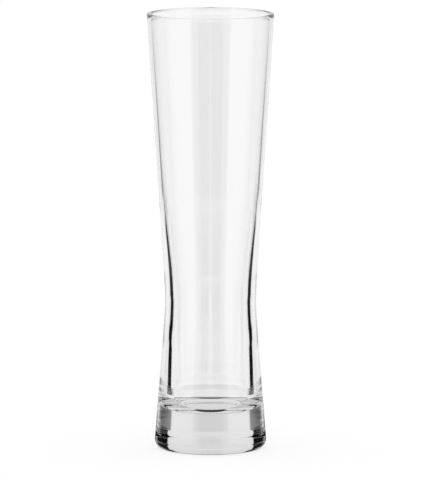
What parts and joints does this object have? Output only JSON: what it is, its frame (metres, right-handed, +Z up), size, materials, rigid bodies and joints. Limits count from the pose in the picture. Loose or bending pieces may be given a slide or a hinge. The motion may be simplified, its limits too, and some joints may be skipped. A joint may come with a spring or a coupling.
{
  "type": "beer glass",
  "caption": "Tall clear beer glass with straight flared sides, a drawn-in waist, a wall that thickens downwards and a heavy solid foot.",
  "frame": {"origin": "centre of the ring that the glass stands on", "axes": "+Z up along the glass's axis of revolution, from the foot to the lip; X and Y are alike because the glass is round"},
  "size_m": [0.0682, 0.0682, 0.235],
  "materials": {
    "clear_glass": "fire-polished, clear"
  },
  "bodies": {
    "root": {"bowl": "clear_glass", "foot": "clear_glass"}
  },
  "joints": []
}
